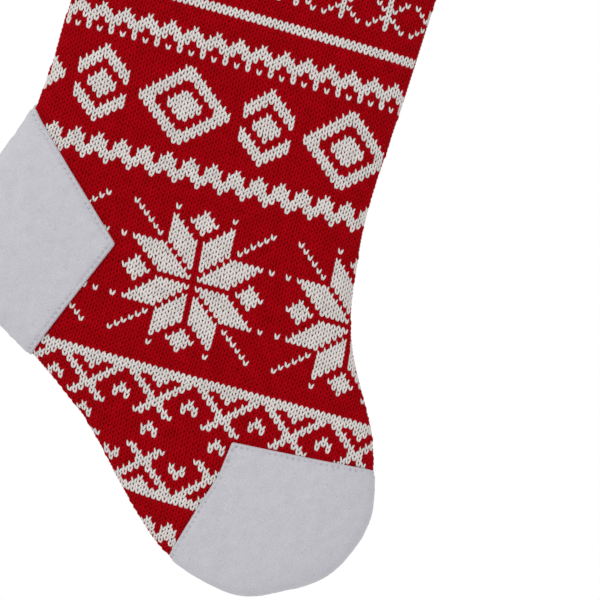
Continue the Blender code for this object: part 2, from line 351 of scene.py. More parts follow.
def rounding_table():
    """For each bulge, the rounded edge's angle at each flat distance from the rim.

    The edge is a quarter ellipse, EDGE_ROUNDING wide and as tall as the bulge. Cloth laid over it
    is longer than it is wide, so a flat distance is measured back along the curve.
    """
    angle = np.linspace(0, math.pi / 2, 600)
    flat = np.arange(FLAT_FROM, EDGE_ROUNDING + FLAT_STEP, FLAT_STEP)
    rows, starts = [], []
    for bulge in BULGES:
        speed = np.hypot(EDGE_ROUNDING * np.sin(angle), bulge * np.cos(angle))
        length = np.concatenate([[0], np.cumsum((speed[1:] + speed[:-1]) / 2 * np.diff(angle))])
        flat_here = EDGE_ROUNDING - (length[-1] - length)
        rows.append(np.interp(flat, flat_here, angle))
        starts.append(flat_here[0])
    return np.array(rows), np.array(starts)


ANGLES, RIM_STARTS = rounding_table()


def edge_angle(flat, bulge):
    """The rounded edge's angle at a flat distance: 0 at the rim and a quarter turn on the flat."""
    b = np.clip(bulge - BULGES[0], 0, len(BULGES) - 1.001)
    u = np.clip((flat - FLAT_FROM) / FLAT_STEP, 0, ANGLES.shape[1] - 1.001)
    return between(ANGLES, b, u)


def bulge_at(z, layer):
    """How far a layer stands out between its rim and the flat middle."""
    flare = smooth_step((z - FLARE_FROM) / (MOUTH_Z - FLARE_FROM))
    return BODY_HALF + (MOUTH_HALF - BODY_HALF) * flare - layer - RIM_HALF


def rim_start(z, layer):
    """The flat distance from the rim at which cloth reaches the middle plane. It is below 0."""
    return np.interp(bulge_at(z, layer), BULGES, RIM_STARTS)


def dents(x, z, side):
    """The hanging cloth's shallow unevenness."""
    turn = 1.7 * side
    broad = np.sin(x / 31 + z / 47 + turn) * np.sin(z / 38 - x / 90 + 2 * turn)
    small = np.sin(x / 12.5 - z / 21 + turn) * np.sin(z / 16 + x / 37)
    return 0.75 * broad + 0.22 * small


OUTLINE = panel_outline()
FIELD = EdgeField(OUTLINE)


def place(x, z, layer=0.0, lift=0.0, side=-1, closed=False):
    """Flat cloth laid over the stocking: garment points over the flat places (x, z).

    layer is how deep the cloth's face lies under the knit's face, and lift the height over it.
    A closed cloth meets the other side's at the seam, in the middle plane.
    """
    x, z = np.broadcast_arrays(np.asarray(x, float), np.asarray(z, float))
    distance, inx, inz = FIELD.at(x, z)
    flat = distance - layer
    bulge = bulge_at(z, layer)
    angle = edge_angle(flat, bulge)
    actual = np.where(flat < EDGE_ROUNDING, EDGE_ROUNDING * (1 - np.cos(angle)), flat)
    rise = bulge * np.sin(angle) + dents(x, z, side) * smooth_step(actual / 20)
    out = bulge * np.cos(angle)
    up = EDGE_ROUNDING * np.sin(angle)
    size = np.hypot(out, up)
    out, up = out / size, up / size
    shift = actual - flat - out * lift
    rim = RIM_HALF
    if closed:
        rim = CLOSED_HALF + (RIM_HALF - CLOSED_HALF) * smooth_step(rise / 5)
    y = side * (rim + rise + up * lift)
    return np.stack([x + inx * shift, y, z + inz * shift], -1)


# ---- materials

def new_material(name):
    made = bpy.data.materials.new(name)
    made.use_nodes = True
    tree = made.node_tree
    return made, tree, tree.nodes["Principled BSDF"]


def set_inputs(node, **values):
    """Sets a node's input values, in whose names _ stands for a space."""
    for name, value in values.items():
        node.inputs[name.replace("_", " ")].default_value = value
    return node


def shader_node(tree, kind, **values):
    return set_inputs(tree.nodes.new(f"ShaderNode{kind}"), **values)


def on_object(tree, node):
    """The node again, fed with the place on the object."""
    tree.links.new(shader_node(tree, "TexCoord").outputs["Object"], node.inputs["Vector"])
    return node


def noise(tree, scale, detail=2.0, roughness=0.5):
    made = shader_node(tree, "TexNoise", Scale=scale, Detail=detail, Roughness=roughness)
    return on_object(tree, made).outputs["Fac"]


def ramp(tree, value, low, high, start=0.3, end=0.7):
    made = shader_node(tree, "ValToRGB")
    for stop, at, colour in zip(made.color_ramp.elements, (start, end), (low, high)):
        stop.position, stop.color = at, (*colour, 1)
    tree.links.new(value, made.inputs["Fac"])
    return made.outputs["Color"]


def multiply(tree, first, second, share):
    made = shader_node(tree, "Mix")
    made.data_type = "RGBA"
    made.blend_type = "MULTIPLY"
    made.inputs["Factor"].default_value = share
    tree.links.new(first, made.inputs["A"])
    tree.links.new(second, made.inputs["B"])
    return made.outputs["Result"]


def bump(tree, shader, heights):
    """Adds bumps to a shader, from (height socket, strength, distance in metres)."""
    before = None
    for height, strength, distance in heights:
        made = shader_node(tree, "Bump", Strength=strength, Distance=distance)
        tree.links.new(height, made.inputs["Height"])
        if before:
            tree.links.new(before, made.inputs["Normal"])
        before = made.outputs["Normal"]
    tree.links.new(before, shader.inputs["Normal"])


def cloth_material(
    name, dark, light, mottle, fibre, roughness, sheen, fibre_depth, weave=None, specks=False
):
    """A cloth: colour that varies over millimetres and along the fibres, fine bump and sheen.

    mottle and fibre are noise scales, to the metre. weave is (threads to the metre, strength), and
    specks are the fleece's dark flecks: bits of lint, and painted shade in the gaps of the nap.
    """
    material, tree, shader = new_material(name)
    patchy = noise(tree, mottle, 3.0)
    fine = noise(tree, fibre, 4.0, 0.7)
    colour = ramp(tree, patchy, dark, light)
    speckle = ramp(tree, fine, (0.72, 0.72, 0.72), (1, 1, 1), 0.25, 0.6)
    colour = multiply(tree, colour, speckle, 0.6)
    if specks:
        # The fleece's specks: bits of lint, and painted shade in the gaps of the nap, over a finer grain
        lint_and_nap_shade = ramp(tree, noise(tree, 1100, 1.0), (0.5, 0.48, 0.5), (1, 1, 1), 0.2, 0.27)
        grain = ramp(tree, noise(tree, 1900, 2.0, 0.8), (0.86, 0.86, 0.87), (1, 1, 1), 0.3, 0.55)
        colour = multiply(tree, multiply(tree, colour, lint_and_nap_shade, 0.8), grain, 0.9)
    tree.links.new(colour, shader.inputs["Base Color"])
    set_inputs(shader, Roughness=roughness, Specular_IOR_Level=0.05)
    set_inputs(shader, Sheen_Weight=sheen, Sheen_Roughness=0.55)
    heights = [(fine, 0.5, fibre_depth), (noise(tree, fibre / 4, 3.0), 0.4, 2 * fibre_depth)]
    if weave:
        threads, strength = weave
        for axis in ("X", "Z"):
            wave = on_object(tree, shader_node(tree, "TexWave", Scale=threads / 20, Distortion=0.4))
            wave.bands_direction = axis
            heights.append((wave.outputs["Fac"], strength, fibre_depth))
    bump(tree, shader, heights)
    return material


# Each cloth: its dark and light colour, mottle, fibre, roughness, sheen, fibre depth, then extras
CLOTHS = {
    "red_yarn": ((0.275, 0.0, 0.002), (0.345, 0.0, 0.004), 160, 2600, 0.95, 0.0, 0.00012),
    # The knit's backing: the red yarn behind the stitches, darker than theirs as painted shade in the
    # gaps between them
    "red_back_painted_shade": ((0.18, 0.0, 0.002), (0.24, 0.0, 0.004), 200, 2600, 0.95, 0.0, 0.00012),
    "ivory_yarn": ((0.605, 0.565, 0.545), (0.705, 0.665, 0.645), 200, 2600, 0.9, 0.12, 0.00012),
    "fleece": ((0.485, 0.48, 0.52), (0.515, 0.51, 0.55), 130, 1500, 0.95, 0.15, 0.00028, None, True),
    "lining": ((0.55, 0.53, 0.50), (0.64, 0.62, 0.58), 60, 1200, 0.8, 0.1, 0.0001, (2500, 0.4)),
    "white_thread": ((0.50, 0.495, 0.53), (0.58, 0.575, 0.61), 400, 3500, 0.8, 0.1, 0.00008),
    "red_thread": ((0.25, 0.003, 0.008), (0.32, 0.005, 0.012), 400, 3500, 0.6, 0.1, 0.00008),
}


# ---- mesh tools

def new_object(name, data):
    made = bpy.data.objects.new(name, data)
    bpy.context.scene.collection.objects.link(made)
    return made


def add_mesh(name, points, faces, material, smooth=True):
    """A mesh piece from points in the frame's metres and an array of triangles or of quads."""
    mesh = bpy.data.meshes.new(name)
    count, corners = len(faces), faces.shape[1]
    mesh.vertices.add(len(points))
    mesh.vertices.foreach_set("co", np.asarray(points, np.float32).ravel())
    mesh.loops.add(count * corners)
    mesh.loops.foreach_set("vertex_index", np.asarray(faces, np.int32).ravel())
    mesh.polygons.add(count)
    mesh.polygons.foreach_set("loop_start", np.arange(count, dtype=np.int32) * corners)
    mesh.polygons.foreach_set("use_smooth", np.full(count, smooth))
    mesh.update(calc_edges=True)
    mesh.validate()
    mesh.materials.append(MATERIALS[material])
    return new_object(name, mesh)


def ring_faces(rings, sides):
    """Triangles between rings of points, each joined to the next."""
    k, n = np.meshgrid(np.arange(rings - 1), np.arange(sides), indexing="ij")
    a, b = (k * sides + n).ravel(), (k * sides + (n + 1) % sides).ravel()
    return np.concatenate([np.stack([a, b, b + sides], 1), np.stack([a, b + sides, a + sides], 1)])


def tube_faces(rings, sides):
    """Triangles of a closed tube: its rings, and a fan over each end."""
    last = (rings - 1) * sides
    fans = [(0, m + 1, m) for m in range(1, sides - 1)]
    fans += [(last, last + m, last + m + 1) for m in range(1, sides - 1)]
    return np.concatenate([ring_faces(rings, sides), np.array(fans)])


def tube_template(path, radii, flatness, sides=6):
    """A closed tapering tube along a path of (across, up, height) points.

    Returns its points and its triangles. flatness is its height over its width.
    """
    path, points = np.asarray(path, float), []
    for k, (centre, radius) in enumerate(zip(path, radii)):
        along = path[min(k + 1, len(path) - 1)] - path[max(k - 1, 0)]
        along /= np.linalg.norm(along)
        across = np.cross(along, (0, 0, 1.0))
        across /= np.linalg.norm(across)
        up = np.cross(across, along)
        for n in range(sides):
            turn = 2 * math.pi * n / sides
            offset = across * math.cos(turn) + up * math.sin(turn) * flatness
            points.append(centre + offset * radius)
    ends = [(path[0], path[0] - path[1], radii[0]), (path[-1], path[-1] - path[-2], radii[-1])]
    for centre, out, radius in ends:
        points.append(centre + out / np.linalg.norm(out) * radius * 0.6)
    rings = len(path)
    first, last, top = rings * sides, rings * sides + 1, (rings - 1) * sides
    tips = []
    for n in range(sides):
        tips.append((n, first, (n + 1) % sides))
        tips.append((top + n, top + (n + 1) % sides, last))
    return np.array(points), np.concatenate([ring_faces(rings, sides), np.array(tips)])


def stitch_template(thickness):
    """One stockinette V, its lower end at 0 and its tips up, for a yarn of that relative thickness."""
    leg = [
        (0.34, 0.32, -0.62), (0.46, 0.85, -0.28), (0.68, 1.55, -0.16),
        (0.95, 2.35, -0.22), (1.22, 3.1, -0.42), (1.40, 3.6, -0.72),
    ]
    radii = [thickness * r for r in (0.46, 0.63, 0.66, 0.60, 0.47, 0.22)]
    right, faces = tube_template(leg, radii, 0.8)
    left = right * np.array([-1, 1, 1])
    return np.concatenate([right, left]), np.concatenate([faces, faces[:, ::-1] + len(right)])


STITCHES = {"red": stitch_template(1.2), "ivory": stitch_template(0.94)}


def facing_out(faces, side):
    """The faces of a piece drawn for the front side, turned round for the back."""
    return faces if side < 0 else faces[:, ::-1]


def repeated(template_faces, size, count):
    """The faces of count copies of a template with that many points."""
    return (template_faces[None] + size * np.arange(count)[:, None, None]).reshape(-1, 3)


def triangulate(lines, points):
    """A Delaunay mesh of flat points, with lines of points as edges that it keeps."""
    verts, edges = [], []
    for line in lines:
        start = len(verts)
        verts += [tuple(p) for p in line]
        edges += [(start + k, start + k + 1) for k in range(len(line) - 1)]
    verts += [tuple(p) for p in points]
    found = geometry.delaunay_2d_cdt(verts, edges, [], 0, 1e-4)
    return np.array([tuple(v) for v in found[0]]), np.array([tuple(f) for f in found[2]])


def grid_points(low, high, step):
    """A triangular grid of points over a box."""
    rows = []
    for k, z in enumerate(np.arange(low[1], high[1], step * math.sqrt(3) / 2)):
        x = np.arange(low[0] + (k % 2) * step / 2, high[0], step)
        rows.append(np.stack([x, np.full(len(x), z)], 1))
    return np.concatenate(rows)


def compact(points, faces):
    """Only the points that the faces use."""
    used, faces = np.unique(faces, return_inverse=True)
    return points[used], faces.reshape(-1, 3)


def flat_cut(region, lines, step, near=()):
    """A flat cut's points and triangles, turned to face the front. region says what lies in it."""
    everything = np.concatenate(lines)
    grid = grid_points(everything.min(0), everything.max(0), step)
    if len(near):
        far, _ = nearest_on(grid[:, 0], grid[:, 1], near)
        grid = grid[far > 4.2]
    grid = grid[region(grid[:, 0], grid[:, 1])]
    points, faces = triangulate(lines, grid)
    middle = points[faces].mean(1)
    points, faces = compact(points, faces[region(middle[:, 0], middle[:, 1])])
    turned = doubled_areas(points, faces) < 0
    faces[turned] = faces[turned][:, ::-1]
    return points, faces


def doubled_areas(points, faces):
    """Twice the area of each flat triangle, below 0 where it faces the back."""
    a, b, c = (points[faces[:, k]] for k in range(3))
    return (b[:, 0] - a[:, 0]) * (c[:, 1] - a[:, 1]) - (b[:, 1] - a[:, 1]) * (c[:, 0] - a[:, 0])


def shell(name, faces, outer, inner, side, material):
    """A closed thin piece between an outer and an inner face that share their triangles."""
    count = len(outer)
    edges = np.concatenate([faces[:, [0, 1]], faces[:, [1, 2]], faces[:, [2, 0]]])
    key = np.sort(edges, 1)
    _, first, uses = np.unique(key, axis=0, return_index=True, return_counts=True)
    a, b = edges[first[uses == 1]].T
    walls = np.concatenate([np.stack([b, a, a + count], 1), np.stack([b, a + count, b + count], 1)])
    every = np.concatenate([faces, faces[:, ::-1] + count, walls])
    points = to_frame(np.concatenate([outer, inner]))
    return add_mesh(name, points, facing_out(every, side), material)


def ride_stocking(piece, node=None):
    """A piece of the stocking, and in the place of its CAD node."""
    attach(piece, "stocking")
    if node:
        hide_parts(node)


# ---- the knit

def in_wall(layer, top, slack=0.0):
    """A test for the flat places that belong to a wall of that layer, below that top."""
    def test(x, z):
        distance, _, _ = FIELD.at(x, z)
        return (distance - layer > rim_start(z, layer) - slack) & (z < top)
    return test


def rim_line(layer, top):
    """The flat outline of a wall's cut: the places that reach the middle plane."""
    reach = -layer - rim_start(OUTLINE[:, 1], layer)
    line = OUTLINE + directions(OUTLINE)[1] * OUTWARD * reach[:, None]
    line = line[line[:, 1] < top - 0.3]
    closed = np.concatenate([[[line[0, 0], top]], line, [[line[-1, 0], top]], [[line[0, 0], top]]])
    return resampled(closed, 1.5)


def outward_sign():
    """Which hand of the outline's direction is outwards."""
    middle = len(OUTLINE) // 4
    step = OUTLINE[middle + 1] - OUTLINE[middle]
    right = np.array([step[1], -step[0]])
    probe = OUTLINE[middle] + right / np.linalg.norm(right) * 3
    distance, _, _ = FIELD.at(np.array([probe[0]]), np.array([probe[1]]))
    return 1.0 if distance[0] < 0 else -1.0


OUTWARD = outward_sign()


def knit_warp(x, z):
    """Where a place on the even stitch grid lies in the real cloth.

    The knit has stretched and hangs askew: its columns lean, and its rows and columns slope and bow
    by a millimetre or so over each 100 mm, with a slow wave down the leg.
    """
    across = (x - 80) / 100
    up = np.clip((z - CHART_MIDDLE) / 100, -1.6, 1.6)
    wave = 2 * math.pi * z / KNIT_WAVE
    row_shift = 1.0 - 0.7 * across + 0.8 * up - 0.5 * up**2 - 0.35 * across * up
    column_shift = 0.3 - 0.7 * across + 0.8 * up - 1.5 * across**2 - 0.45 * up**2
    x = x + column_shift + 0.9 * np.sin(wave - 3.1) - WALE_LEAN * (z - CHART_MIDDLE)
    return x, z + row_shift + 0.5 * np.sin(wave - 0.35)


def stitch_places(side):
    """Every visible stitch of a side: its column and row."""
    columns, rows = np.meshgrid(np.arange(*CHART_COLUMNS), np.arange(*CHART_ROWS), indexing="ij")
    columns, rows = columns.ravel(), rows.ravel()
    x, z = knit_warp(CHART_X + columns * WALE, CHART_TOP - rows * COURSE)
    middle = z + COURSE / 2
    keep = in_wall(0.0, CUFF_BOTTOM + 6, -1.0)(x, middle)
    for patch in PATCHES.values():
        far, _ = nearest_on(x, middle, patch["seam"])
        keep &= ~(patch["region"](x, middle) & (far > 3.5))
    return columns[keep], rows[keep]


def lay_stitches(template, columns, rows, side, seed):
    """Points of the stitches at those columns and rows, laid over the stocking."""
    rng = np.random.default_rng(seed)
    count = len(columns)
    plump = rng.normal(1, 0.045, (count, 1))
    tilt = rng.normal(0, 0.05, (count, 1))
    across, up, height = (template[None, :, k] for k in range(3))
    across = across * plump + tilt * (up - 1.5) + rng.normal(0, 0.06, (count, 1))
    up = up + rng.normal(0, 0.07, (count, 1))
    height = height + rng.normal(0, 0.05, (count, 1))
    x, z = knit_warp(
        CHART_X + columns[:, None] * WALE + across, CHART_TOP - rows[:, None] * COURSE + up
    )
    points = place(x.ravel(), z.ravel(), 0.0, np.broadcast_to(height, x.shape).ravel(), side)
    return to_frame(points)


def knit_stitches(word, side):
    """The stitches of a side, split by colour and by height into pieces."""
    columns, rows = stitch_places(side)
    ivory = np.array([is_ivory(c, r) for c, r in zip(columns, rows)])
    made = []
    for colour, of_colour in (("ivory", ivory), ("red", ~ivory)):
        template, faces = STITCHES[colour]
        order = np.flatnonzero(of_colour)
        order = order[np.argsort(rows[order], kind="stable")]
        pieces = math.ceil(len(order) * len(faces) / PIECE_FACES)
        for k, part in enumerate(np.array_split(order, pieces)):
            seed = 100 * (side + 2) + k
            points = lay_stitches(template, columns[part], rows[part], side, seed)
            every = facing_out(repeated(faces, len(template), len(part)), side)
            name = f"{word}_{colour}_stitches_{k + 1}"
            piece = add_mesh(name, points, every, f"{colour}_yarn")
            ride_stocking(piece)
            made.append(piece)
    return made


def knit_panel(word, side):
    """The knit's backing, which the stitches stand on; its darker red is painted shade between them."""
    points, faces = flat_cut(in_wall(0.0, WALL_TOP), [rim_line(0.0, WALL_TOP)], 4.0)
    outer = place(points[:, 0], points[:, 1], 0.0, -YARN_RISE, side)
    inner = place(points[:, 0], points[:, 1], 0.0, -KNIT_INNER, side)
    piece = shell(f"{word}_knit_backing", faces, outer, inner, side, "red_back_painted_shade")
    ride_stocking(piece, f"{word}_knit_panel")
    knit_stitches(word, side)


def lining(word, side):
    points, faces = flat_cut(in_wall(LINING_FACE, WALL_TOP), [rim_line(LINING_FACE, WALL_TOP)], 5.0)
    outer = place(points[:, 0], points[:, 1], LINING_FACE, 0.0, side)
    inner = place(points[:, 0], points[:, 1], LINING_FACE + LINING_THICK, 0.0, side)
    piece = shell(f"{word}_lining_cloth", faces, outer, inner, side, "lining")
    ride_stocking(piece, f"{word}_lining")


# ---- the fleece

STITCH_INSET = 1.9        # the topstitching, from the free edge
STITCH_PITCH = 2.9
GROOVE = 1.25             # how far under the fleece's face its thread lies
EDGE_LINES = (0.35, 0.75, 1.15, 1.55, 1.9, 2.25, 2.7, 3.4)  # the cut's rows beside that edge
PINCH_WIDTH = 12.0        # over that far from the side seam a patch comes to its full height


def patch_seam(node):
    """A patch's free edge, from the frame, run on past the outline at both ends."""
    chain = border(node)
    distance, _, _ = FIELD.at(chain[:, 0], chain[:, 1])
    free = distance > PATCH_FACE + 0.6
    start = int(np.flatnonzero(free & ~np.roll(free, 1))[0])
    line = np.roll(chain, -start, axis=0)[: int(free.sum())]
    line = smoothed(line, 1.5, 1.0)
    before = line[0] + (line[0] - line[4]) / np.linalg.norm(line[0] - line[4]) * 16
    after = line[-1] + (line[-1] - line[-5]) / np.linalg.norm(line[-1] - line[-5]) * 16
    return resampled(np.concatenate([[before], line, [after]]), 1.0)


def patch_region(seam, away):
    """A test for the places on the patch's side of its seam. away is a corner far outside it."""
    polygon = np.concatenate([seam, away])

    def test(x, z):
        return inside(x, z, polygon)
    return test


HEEL_AWAY = np.array([(-140.0, -560.0), (-140.0, -230.0)])
TOE_AWAY = np.array([(240.0, -560.0)])


def find_patches():
    """Each patch's seam, its region, and its height at the side seam as a share of the full one."""
    heel, toe = patch_seam("front_heel_patch"), patch_seam("front_toe_patch")
    heel_away = HEEL_AWAY if heel[0, 1] > heel[-1, 1] else HEEL_AWAY[::-1]
    return {
        "heel": {"seam": heel, "region": patch_region(heel, heel_away), "stand": 0.6},
        "toe": {"seam": toe, "region": patch_region(toe, TOE_AWAY), "stand": 0.08},
    }


def edge_profile(far, along):
    """A fleece face's drop beside a sewn free edge: a rolled edge, and a dimpled stitch line."""
    roll = np.clip(1 - far / 1.2, 0, 1)
    drop = 1.7 * (1 - np.sqrt(1 - roll**2)) + 0.5 * smooth_step((4 - far) / 4)
    hole = 0.5 - 0.5 * np.cos(2 * math.pi * along / STITCH_PITCH)
    groove = np.exp(-(((far - STITCH_INSET) / 0.7) ** 2)) * (0.35 + 0.75 * hole**3)
    return drop + groove


def nap(x, z, seed):
    """The fleece's own unevenness, as smooth bumps a few millimetres wide."""
    rng = np.random.default_rng(seed)
    total = np.zeros_like(x)
    for size, height in ((9.0, 0.16), (4.5, 0.11), (2.4, 0.07)):
        for _ in range(5):
            turn, phase = rng.uniform(0, math.pi), rng.uniform(0, 6.28)
            wave = (x * math.cos(turn) + z * math.sin(turn)) * 2 * math.pi / size
            total += height / 2 * np.sin(wave + phase + 1.5 * np.sin(wave / 2.7 + phase))
    return total


def patch(word, kind, side):
    """A fleece patch: its face sinks along the topstitching and rolls under at the free edge."""
    seam, region = PATCHES[kind]["seam"], PATCHES[kind]["region"]
    wall = in_wall(0.0, CUFF_BOTTOM)

    def in_patch(x, z):
        return region(x, z) & wall(x, z)

    lines = [rim_line(0.0, CUFF_BOTTOM), seam]
    lines += [resampled(beside(seam, d, region), 1.0) for d in EDGE_LINES]
    points, faces = flat_cut(in_patch, lines, 1.7, seam)
    x, z = points[:, 0], points[:, 1]
    far, along = nearest_on(x, z, seam)
    distance, _, _ = FIELD.at(x, z)
    stand = PATCHES[kind]["stand"]
    rim = distance - PATCH_FACE - rim_start(z, PATCH_FACE)
    pinch = stand + (1 - stand) * smooth_step(rim / PINCH_WIDTH)
    height = -PATCH_FACE * pinch - edge_profile(far, along) + nap(x, z, 7) * pinch
    outer = place(x, z, 0.0, height, side, closed=True)
    inner = place(x, z, 0.0, -PATCH_INNER * pinch, side, closed=True)
    piece = shell(f"{word}_{kind}_fleece", faces, outer, inner, side, "fleece")
    ride_stocking(piece, f"{word}_{kind}_patch")
    sewn = topstitching(word, kind, side)


def beside(line, far, region):
    """A line moved sideways, into a region."""
    _, right = directions(line)
    middle = len(line) // 2
    probe = line[middle] + right[middle] * 2
    hand = 1 if region(np.array([probe[0]]), np.array([probe[1]]))[0] else -1
    return line + right * hand * far


def thread_template(length, radius):
    """One stitch of sewing thread along its second axis, both of whose ends dive."""
    ys = np.linspace(-length / 2, length / 2, 6)
    heights = 0.42 - 0.75 * (2 * ys / length) ** 4
    path = [(0.0, y, h) for y, h in zip(ys, heights)]
    return tube_template(path, [0.7 * radius, radius, radius, radius, radius, 0.7 * radius], 1.0)


def sewn_line(name, node, line, length, pitch, radius, side, layer, lift, material):
    """Stitches of thread along a flat line, a pitch apart."""
    template, faces = thread_template(length, radius)
    along = distances_along(line)
    starts = np.arange(pitch / 2, along[-1], pitch)
    at = starts[:, None] + template[None, :, 1]
    step, _ = directions(line)
    x, z, tx, tz = (
        np.interp(at, along, values) for values in (line[:, 0], line[:, 1], step[:, 0], step[:, 1])
    )
    across = template[None, :, 0]
    x, z = x + tz * across, z - tx * across
    height = lift + np.broadcast_to(template[None, :, 2], x.shape)
    points = place(x.ravel(), z.ravel(), layer, height.ravel(), side)
    every = repeated(faces, len(template), len(starts))
    piece = add_mesh(name, to_frame(points), facing_out(every, side), material)
    ride_stocking(piece, node)
    return piece


def topstitching(word, kind, side):
    """The topstitching along a patch's free edge, down in its groove."""
    line = beside(PATCHES[kind]["seam"], STITCH_INSET, PATCHES[kind]["region"])
    distance, _, _ = FIELD.at(line[:, 0], line[:, 1])
    line = line[distance > 0.5]
    return sewn_line(
        f"{word}_{kind}_sewing", f"{word}_{kind}_topstitch", line, 2.3, STITCH_PITCH, 0.26, side,
        0.0, -PATCH_FACE - GROOVE, "white_thread",
    )


# ---- the cuff

FACING_FACE = 6.8
HEM_STITCH_Z = CUFF_BOTTOM + 7.0
HEM_PITCH = 3.4
CUFF_COLUMNS = 150


def cuff_section():
    """The cuff's closed section as (layer, z): up the outside, over the mouth, and turned in."""
    outside = [(CUFF_FACE, CUFF_BOTTOM + 1.5), (CUFF_FACE, -56.0), (CUFF_FACE, -12.0)]
    fold = [(-3.4, -5.6), (-0.4, -3.2), (3.0, -3.4), (5.9, -6.2)]
    facing = [(FACING_FACE, -12.0), (FACING_FACE, -36.8), (5.7, -38.2), (4.7, -36.8)]
    under = [(4.6, -10.5), (2.0, -9.0), (-0.3, -10.5), (-0.3, CUFF_BOTTOM + 1.5)]
    hem = [(-1.2, CUFF_BOTTOM + 0.2), (-3.6, CUFF_BOTTOM + 0.2)]
    line = np.array(outside + fold + facing + under + hem + outside[:1])
    line = resampled(line, 2.2)
    for _ in range(2):
        closed = np.concatenate([line[-2:-1], line, line[1:2]])
        line = (closed[:-2] + 2 * closed[1:-1] + closed[2:]) / 4
    return line[:-1]


def cuff(word, side):
    """A fleece cuff half: outside wall, soft fold over the mouth and the facing inside."""
    section = cuff_section()
    share = np.linspace(0, 1, CUFF_COLUMNS + 1)
    layer, z = (section[:, k][:, None] for k in range(2))
    back, front = OUTLINE[0, 0], OUTLINE[-1, 0]
    reach = layer + rim_start(z, layer)
    x = (back + reach) + (front - back - 2 * reach) * share[None, :]
    layer, z = np.broadcast_arrays(layer, z)[0] + 0 * x, z + 0 * x
    outside = smooth_step((0.5 - layer) / 3)
    hem = np.exp(-(((z - HEM_STITCH_Z) / 1.3) ** 2))
    dimple = 0.7 + 0.3 * np.cos(2 * math.pi * x / HEM_PITCH)
    puff = 0.5 * smooth_step((HEM_STITCH_Z - z) / 3) + 0.8 * np.sin((z + 60) / 22) * 0.5
    soft = nap(x, z, 11) + 0.6 * np.sin(x / 17 + z / 29 + side) * np.sin(z / 23 + 0.8)
    lift = outside * (soft - 1.3 * hem * dimple + puff)
    sag = outside * smooth_step((-60 - z) / 40) * 0.9 * np.sin(x / 19 + 1.1 * side)
    rounded = smooth_step(np.minimum(share, 1 - share)[None, :] * 12)
    points = place(
        x.ravel(), (z + sag).ravel(), layer.ravel(), (lift * rounded).ravel(), side, closed=True
    )
    rows, columns = x.shape
    piece = add_mesh(
        f"{word}_cuff_fleece", to_frame(points), lofted_faces(rows, columns, side), "fleece"
    )
    ride_stocking(piece, f"{word}_cuff")
    sewn = hem_sewing(word, side)


def lofted_faces(rows, columns, side):
    """Triangles of a closed ring of rows by columns, with its two ends filled."""
    r, c = np.meshgrid(np.arange(rows), np.arange(columns - 1), indexing="ij")
    a, b = (r * columns + c).ravel(), (r * columns + c + 1).ravel()
    up = ((r + 1) % rows * columns + c).ravel()
    quads = np.concatenate([np.stack([a, b, up + 1], 1), np.stack([a, up + 1, up], 1)])
    ends = []
    for column in (0, columns - 1):
        ring = np.arange(rows) * columns + column
        for k in range(1, rows - 1):
            face = (ring[0], ring[k], ring[k + 1])
            ends.append(face if column == 0 else face[::-1])
    return facing_out(np.concatenate([quads, np.array(ends)]), side)


def hem_sewing(word, side):
    back, front = OUTLINE[0, 0], OUTLINE[-1, 0]
    reach = CUFF_FACE + float(rim_start(HEM_STITCH_Z, CUFF_FACE))
    line = np.stack([np.arange(back + reach + 1, front - reach - 1, 1.0)] * 2, 1)
    line[:, 1] = HEM_STITCH_Z
    return sewn_line(
        f"{word}_cuff_hem_sewing", f"{word}_cuff_hem_stitch", line, 2.7, HEM_PITCH, 0.32, side,
        CUFF_FACE, -0.75, "white_thread",
    )


# ---- the side seam

SEAM_INSET = 1.2
SEAM_RADIUS = 1.15
WRAP_REACH = 1.5          # each wrap runs that far over both panels
WRAP_SINK = 0.5


def side_seam():
    """The overcast seam between the panels: a cord of cloth edges, wrapped by slanting stitches."""
    line = resampled(OUTLINE, 1.0)
    outward = directions(line)[1] * OUTWARD
    core = line - outward * SEAM_INSET
    sides = 8
    turn = 2 * math.pi * np.arange(sides) / sides
    ring = np.stack([np.cos(turn), np.sin(turn)], 1) * SEAM_RADIUS
    points = np.concatenate([
        core[:, None, :1] + outward[:, None, :1] * ring[None, :, :1],
        np.broadcast_to(ring[None, :, 1:], (len(core), sides, 1)),
        core[:, None, 1:] + outward[:, None, 1:] * ring[None, :, :1],
    ], -1).reshape(-1, 3)
    faces = tube_faces(len(core), sides)
    if OUTWARD > 0:
        faces = faces[:, ::-1]
    wraps, wrap_faces = seam_wraps(line, outward)
    every = np.concatenate([faces, wrap_faces + len(points)])
    piece = add_mesh(
        "side_seam_sewing", to_frame(np.concatenate([points, wraps])), every, "red_thread"
    )
    ride_stocking(piece, "side_seam")


def seam_wraps(line, outward):
    """Slanting stitches over the seam, from one panel to the other."""
    path = [(y * 0.35, y, 0.35 - 0.28 * y * y) for y in np.linspace(-WRAP_REACH, WRAP_REACH, 6)]
    template, faces = tube_template(path, [0.2, 0.3, 0.32, 0.32, 0.3, 0.2], 1.0)
    at = np.arange(2, len(line) - 2, 2)
    along, out = np.gradient(line, axis=0)[at], outward[at]
    across, height = template[:, 0], template[:, 2] - WRAP_SINK
    x = line[at, :1] + along[:, :1] * across + out[:, :1] * height
    z = line[at, 1:] + along[:, 1:] * across + out[:, 1:] * height
    y = np.broadcast_to(template[:, 1], x.shape)
    return np.stack([x, y, z], -1).reshape(-1, 3), repeated(faces, len(template), len(at))


# ---- the loop

